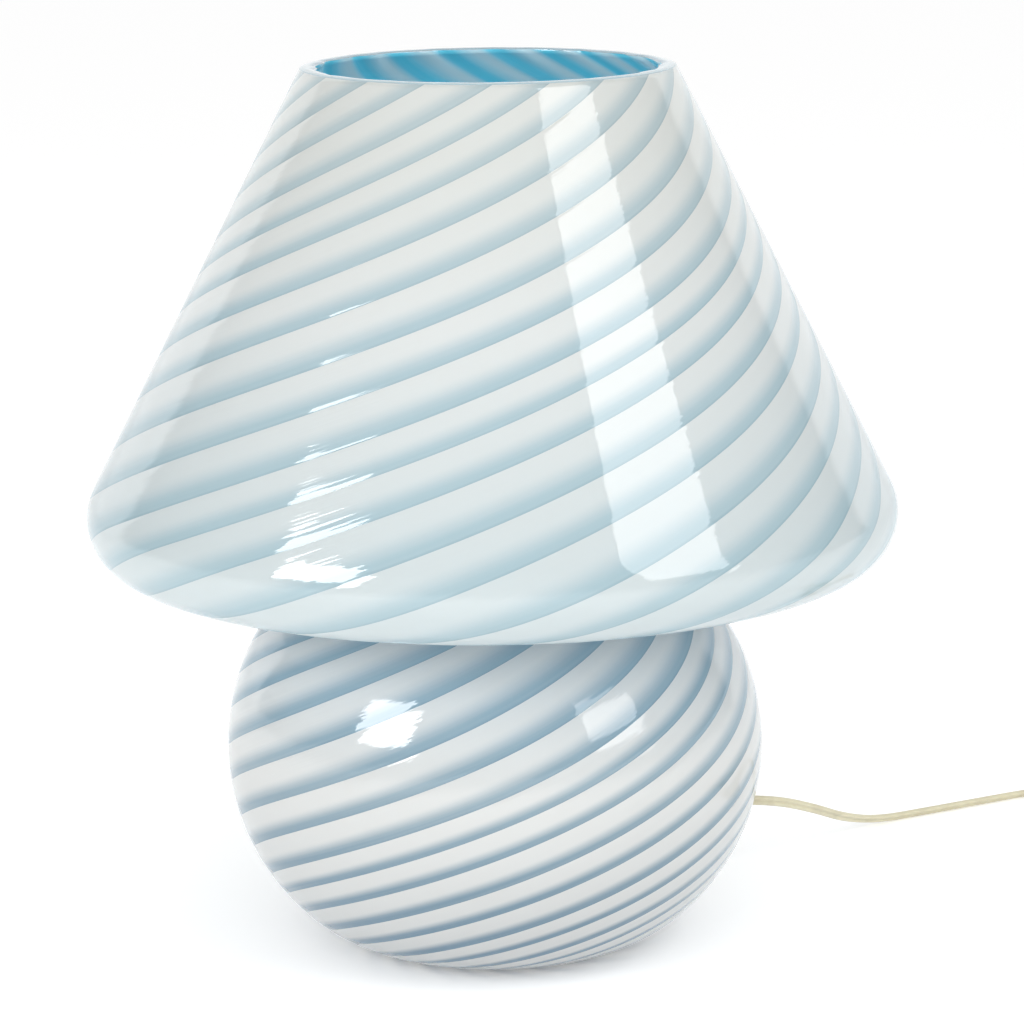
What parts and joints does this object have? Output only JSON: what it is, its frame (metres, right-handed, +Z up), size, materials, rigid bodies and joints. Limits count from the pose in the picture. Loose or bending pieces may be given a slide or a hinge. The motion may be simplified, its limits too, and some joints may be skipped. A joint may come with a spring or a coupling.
{
  "type": "mushroom table lamp",
  "caption": "Mushroom-shaped table lamp of blown swirled glass in one piece, with a round base, a conical shade open at the top, a lampholder in the neck and a flat cord with switch and plug.",
  "frame": {"origin": "middle of the lamp's foot, on the surface that it stands on", "axes": "+Z up along the lamp's axis; the pictured front faces -Y; +X is to the right in the picture, where the cord leaves"},
  "size_m": [0.5976, 0.4368, 0.4378],
  "materials": {
    "glass": "cased glass, milky white with pale blue swirls, glossy",
    "bulb_glass": "frosted white inside",
    "brass": "plain",
    "steel": "zinc plated",
    "plate": "white enamel",
    "holder_plastic": "moulded, white",
    "ceramic": "unglazed",
    "gasket": "soft, pale",
    "cord": "ivory sheath, satin",
    "ivory_plastic": "moulded, ivory",
    "insulator": "dark glassy compound"
  },
  "bodies": {
    "lamp": {"glass_base": "glass", "glass_shade": "glass", "cord_grommet": "gasket", "neck_gasket": "gasket", "neck_plate": "plate", "threaded_tube": "steel", "lower_nut": "steel", "lower_washer": "steel", "upper_washer": "steel", "spider_hub": "steel", "spring_arms": "steel", "arm_rivets": "steel", "holder_cap": "holder_plastic", "holder_skirt": "holder_plastic", "cap_grub_screw": "steel", "terminal_block": "ceramic", "terminal_screws": "brass", "screw_shell": "brass", "centre_contact": "brass", "inner_cord": "cord", "cord_stretch": "cord", "cord_lead": "cord", "cord_coil": "cord", "cord_tail": "cord", "switch_lower_shell": "ivory_plastic", "switch_upper_shell": "ivory_plastic", "switch_screws": "steel", "switch_contacts": "brass", "plug_body": "ivory_plastic", "plug_pins": "steel"},
    "bulb": {"bulb_glass": "bulb_glass", "bulb_cap": "brass", "bulb_insulator": "insulator", "bulb_contact": "brass"},
    "rocker": {"switch_rocker": "ivory_plastic"}
  },
  "joints": [
    {"name": "bulb_lift", "type": "slide", "parent": "lamp", "child": "bulb", "axis": [0, 0, 1], "range_m": [0, 0.025]},
    {"name": "switch_rocker", "type": "hinge", "parent": "lamp", "child": "rocker", "pos_m": [0.376, 0.15, 0.012], "axis": [1, 0, 0], "range_deg": [0, 14]}
  ]
}
